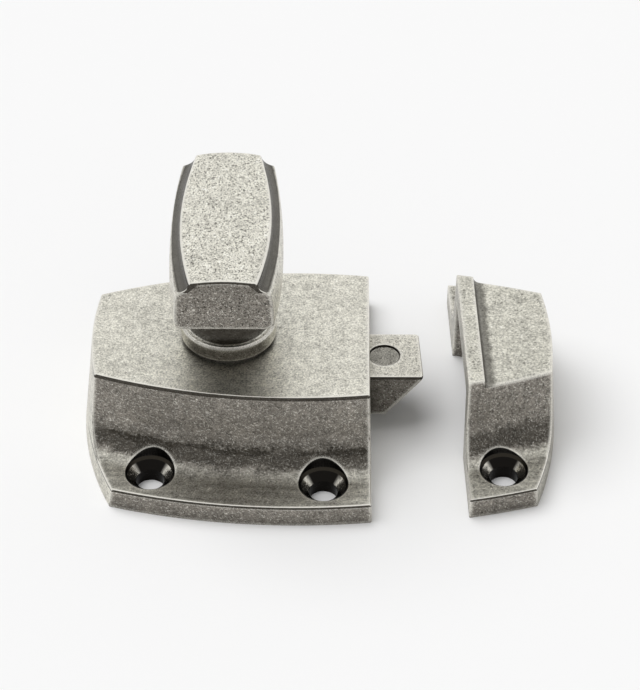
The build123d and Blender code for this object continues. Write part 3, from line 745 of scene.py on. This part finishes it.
# The strike's ends get a lower pale share than the case's, as painted shade.
cover(frame["nodes"]["strike"], antique_pewter(
    "pewter_strike", (flange_edge,), flange_top=FLANGE_TOP * MM, flange_pale=(0.75, 0.75),
    end_pale=0.55, pit_black=0.55, pale_metal=(0.615, 0.6, 0.525),
    places=[(countersinks(STRIKE_HOLES, STRIKE_HOLE_RADIUS), TAR, 1.0),
            (cone_highlights(STRIKE_HOLES, STRIKE_HOLE_RADIUS - CONE_HIGHLIGHT_INSET), CONE_HIGHLIGHT, 1.0),
            (cove_beside_rib, BLACK, 0.72)]))

# %% [markdown]
# The knob is a single casting: a T-bar handle with a raised crowned panel, a groove along each side of the
# panel, a waisted neck and a collar. The grooves lie under the panel's crown and above the groove floor, so
# two tests find them: the distance from the axis of the crown, and the height. The neck and the front and
# back of the collar get painted shade. The bolt is a little darker in front and behind, which is painted
# shade, and the shallow round mark on its top kept half of its black. Here too the sizes are in
# millimetres, and each edge is the height band of a rounding.

# %% Knob and bolt
CROWN_RADIUS = 25.0
CROWN_CENTRE_Z = 14.9
GROOVE_FLOOR_Z = 37.5
HANDLE_EDGE = (37.6, 39.9)
COLLAR_TOP = 19.0
COLLAR_RIM = 0.3
NECK_FOOT = 19.25
NECK_HEAD = 29.5
NECK_REACH = 6.75
MARK_X = 24.6
MARK_RADIUS = 2.5
MARK_FLOOR = 0.55
MARK_RIM = 0.35
BOLT_EDGE = (11.0, 11.6)


def looking_along(tree, place, axis, low, high):
    """Mask of the faces that look one way or the other along an axis."""
    facing = parts_of(tree, place["Normal"])[axis]
    return step_up(tree, maths(tree, "ABSOLUTE", facing), low, high)


def handle_grooves(tree, place):
    """Mask of the two grooves beside the handle's panel."""
    xyz = parts_of(tree, place["Object"])
    rise = maths(tree, "SUBTRACT", xyz["Z"], CROWN_CENTRE_Z * MM)
    across_squared = maths(tree, "MULTIPLY", xyz["X"], xyz["X"])
    rise_squared = maths(tree, "MULTIPLY", rise, rise)
    crown = maths(tree, "SQRT", maths(tree, "ADD", across_squared, rise_squared))
    under_crown = step_up(tree, crown, (CROWN_RADIUS - 0.1) * MM, (CROWN_RADIUS - 0.3) * MM)
    above_floor = step_up(tree, xyz["Z"], (GROOVE_FLOOR_Z - 0.1) * MM, (GROOVE_FLOOR_Z + 0.1) * MM)
    not_end = looking_along(tree, place, "Y", 0.7, 0.5)
    return maths(tree, "MULTIPLY", maths(tree, "MULTIPLY", under_crown, above_floor), not_end)


def neck_shade(tree, place):
    """Mask of painted shade on the waist between the collar and the handle, where it faces along the
    handle.
    """
    height = parts_of(tree, place["Object"])["Z"]
    across = maths(tree, "ABSOLUTE", parts_of(tree, place["Normal"])["X"])
    away = away_from_axis(tree, place["Object"])
    waist = between(tree, height, NECK_FOOT * MM, NECK_HEAD * MM, 0.1 * MM)
    inside_rim = step_up(tree, away, NECK_REACH * MM, (NECK_REACH - 0.3) * MM)
    spots = about_zero(tree, noise(tree, place["Object"], 0.8 * MM, 3.0))
    along = step_up(tree, maths(tree, "ADD", across, spots), 1.0, 0.65)
    return maths(tree, "MULTIPLY", maths(tree, "MULTIPLY", waist, inside_rim), along)


def collar_front_shade(tree, place):
    """Mask of painted shade on the collar's wall and its rounded rim where they look along Y."""
    height = parts_of(tree, place["Object"])["Z"]
    low = step_up(tree, height, (COLLAR_TOP + COLLAR_RIM) * MM, COLLAR_TOP * MM)
    return maths(tree, "MULTIPLY", low, looking_along(tree, place, "Y", 0.3, 0.75))


def front_and_back_shade(tree, place):
    """Mask of painted shade on the faces that look along Y."""
    return looking_along(tree, place, "Y", 0.6, 0.95)


def round_mark(tree, place):
    """Mask of the round recess on the bolt's top."""
    away = away_from_axis(tree, place["Object"], MARK_X)
    inside = step_up(tree, away, (MARK_RADIUS + 0.1) * MM, (MARK_RADIUS - 0.05) * MM)
    rim = between(tree, away, (MARK_RADIUS - 0.15) * MM, (MARK_RADIUS + 0.05) * MM, 0.1 * MM)
    inside = maths(tree, "MULTIPLY", inside, MARK_FLOOR)
    return maths(tree, "ADD", inside, maths(tree, "MULTIPLY", rim, MARK_RIM))


cover(frame["nodes"]["knob"], antique_pewter(
    "pewter_knob", (HANDLE_EDGE,), grain=0.22 * MM, contrast=2.2, pits=0.56, pit_black=0.8,
    pale_metal=(0.76, 0.74, 0.655),
    places=[(handle_grooves, BLACK, 0.92), (neck_shade, BLACK, 0.92), (collar_front_shade, BLACK, 0.66)]))
cover(frame["nodes"]["bolt"], antique_pewter(
    "pewter_bolt", (BOLT_EDGE,), grain=0.24 * MM, pits=0.57, pale_metal=(0.61, 0.59, 0.52),
    places=[(round_mark, BLACK, 1.0), (front_and_back_shade, BLACK, 0.4)]))

# %% [markdown]
# The fittings inside the case are turned or stamped from sheet and bar. Most are zinc plated: pale and
# slightly blue, with faint yellow clouds where the passivation is thicker. The cam and the collar's washer
# are blackened, the small thrust washer is brass, and the spring is bare drawn wire. All four are the same
# recipe with other colours: two tones mixed by clouds, fine scratches, rubbed edges that also carry a
# painted highlight, and a little painted shade in the corners.

# %% Plated, blackened, brass and spring metal
TONE_SHARE = 0.6
CORNER_SHADE_SHARE = 0.5
SCRATCHED = 0.3
EDGE_WEAR_AND_HIGHLIGHT = 0.6


def plain_metal(name, first, second, worn_and_highlight, roughness, cloud_size):
    """first and second are mixed by clouds; the third colour is the bright metal that scratches show as
    wear and edges show as wear and painted highlight.
    """
    material, tree, shader, place = new_material(name)
    position = place["Object"]
    speckle = use_group(tree, GRAIN_GROUP, Position=position, Grain=0.12 * MM, Contrast=0.8, Pits=0.68)
    clouds = step_up(tree, noise(tree, position, cloud_size, 3.0, 0.6, 0.4), 0.35, 0.65)
    scratches = use_group(tree, SCRATCH_GROUP, Position=position, Width=0.07 * MM, Amount=0.62)["Scratches"]
    edges = use_group(tree, EDGE_GROUP, Position=position, Reach=0.2 * MM, Strength=6.0)["Edges"]
    corners = use_group(tree, CORNER_GROUP, Position=position, Reach=1.2 * MM)["Dark"]
    colour = blend_colours(tree, clouds, first, second)
    colour = blend_colours(tree, TONE_SHARE, colour, grey_of(tree, speckle["Tone"]), "MULTIPLY")
    colour = blend_colours(tree, maths(tree, "MULTIPLY", scratches, SCRATCHED), colour, worn_and_highlight)
    # Painted shade in the corners, where little light gets in.
    colour = blend_colours(tree, maths(tree, "MULTIPLY", corners, CORNER_SHADE_SHARE), colour, BLACK)
    # Bright edges: wear together with a painted highlight.
    colour = blend_colours(tree, maths(tree, "MULTIPLY", edges, EDGE_WEAR_AND_HIGHLIGHT), colour, worn_and_highlight)
    gloss = maths(tree, "ADD", maths(tree, "MULTIPLY", clouds, 0.08), roughness)
    finish_metal(tree, shader, colour, gloss, speckle["Height"], 0.2, 0.02 * MM)
    return material


zinc_plate = plain_metal("zinc_plate", first=(0.60, 0.62, 0.64), second=(0.66, 0.63, 0.52),
                         worn_and_highlight=(0.80, 0.80, 0.80), roughness=0.3, cloud_size=3 * MM)
blackened = plain_metal("blackened_steel", first=(0.05, 0.048, 0.046), second=(0.09, 0.085, 0.08),
                        worn_and_highlight=(0.45, 0.44, 0.42), roughness=0.38, cloud_size=1 * MM)
brass = plain_metal("washer_brass", first=(0.70, 0.52, 0.24), second=(0.55, 0.36, 0.17),
                    worn_and_highlight=(0.85, 0.70, 0.42), roughness=0.32, cloud_size=1.5 * MM)
wire = plain_metal("spring_wire", first=(0.42, 0.42, 0.42), second=(0.30, 0.28, 0.26),
                   worn_and_highlight=(0.62, 0.62, 0.62), roughness=0.28, cloud_size=0.8 * MM)
for name in ("back_plate", "back_plate_screw_1", "back_plate_screw_2", "back_plate_screw_3",
             "back_plate_screw_4", "knob_spindle", "lock_washer", "cam_screw"):
    cover(frame["nodes"][name], zinc_plate)
for name in ("retractor_cam", "collar_washer"):
    cover(frame["nodes"][name], blackened)
cover(frame["nodes"]["thrust_washer"], brass)
cover(bolt_spring_coil, wire)

# %% [markdown]
# The latch stands on a sheet of white paper that fills the view. It is one large flat square, and it is not
# part of the object. Paper is matt and hardly shines.

# %% Floor
FLOOR_HALF = 1.2
PAPER = (0.93, 0.93, 0.93, 1)

floor_shape = bmesh.new()
bmesh.ops.create_grid(floor_shape, x_segments=1, y_segments=1, size=FLOOR_HALF)
floor_mesh = bpy.data.meshes.new("floor")
floor_shape.to_mesh(floor_mesh)
floor_shape.free()
floor = bpy.data.objects.new("floor", floor_mesh)
bpy.context.scene.collection.objects.link(floor)
floor_material, tree, shader, place = new_material("floor_paper")
shader.inputs["Base Color"].default_value = PAPER
shader.inputs["Roughness"].default_value = 0.9
shader.inputs["Specular IOR Level"].default_value = 0.1
floor_mesh.materials.append(floor_material)
print("floor", 2 * FLOOR_HALF, "m square")

# %% [markdown]
# The light is a white room and one wide soft lamp from the upper left. A sun lamp with a wide angle gives
# the same light everywhere on the floor, with shadows as soft as a softbox makes. The two strengths are
# chosen so that lamp and room together show a colour about as it is written. The camera and the shiny
# metal see the room as near white, which the Light Path node tells apart from the light that the room
# gives, and the lamp itself is not mirrored, so that the flat tops do not burn out.

# %% Light
ROOM_LIGHT = 0.39
ROOM_SEEN = 0.945
LAMP_STRENGTH = 2.2
LAMP_SPREAD = 60
LAMP_FROM_BACK = 8
LAMP_FROM_LEFT = 24

world = bpy.data.worlds.new("studio")
bpy.context.scene.world = world
world.use_nodes = True
world.node_tree.nodes.clear()
tree = world.node_tree
path = node(tree, "ShaderNodeLightPath").outputs
mirrored = maths(tree, "MAXIMUM", path["Is Glossy Ray"], path["Is Transmission Ray"])
seen = maths(tree, "MAXIMUM", path["Is Camera Ray"], mirrored)
strength = maths(tree, "ADD", maths(tree, "MULTIPLY", seen, ROOM_SEEN - ROOM_LIGHT), ROOM_LIGHT)
sky = node(tree, "ShaderNodeBackground", {"Color": (1, 1, 1, 1), "Strength": strength}).outputs[0]
node(tree, "ShaderNodeOutputWorld", {"Surface": sky})

lamp_data = bpy.data.lights.new("softbox", "SUN")
lamp_data.energy = LAMP_STRENGTH
lamp_data.angle = math.radians(LAMP_SPREAD)
lamp = bpy.data.objects.new("softbox", lamp_data)
lamp.rotation_euler = (math.radians(-LAMP_FROM_BACK), math.radians(-LAMP_FROM_LEFT), 0)
lamp.visible_glossy = False
bpy.context.scene.collection.objects.link(lamp)
bpy.context.scene.view_settings.view_transform = "Standard"
print("room", ROOM_LIGHT, "lamp", LAMP_STRENGTH)
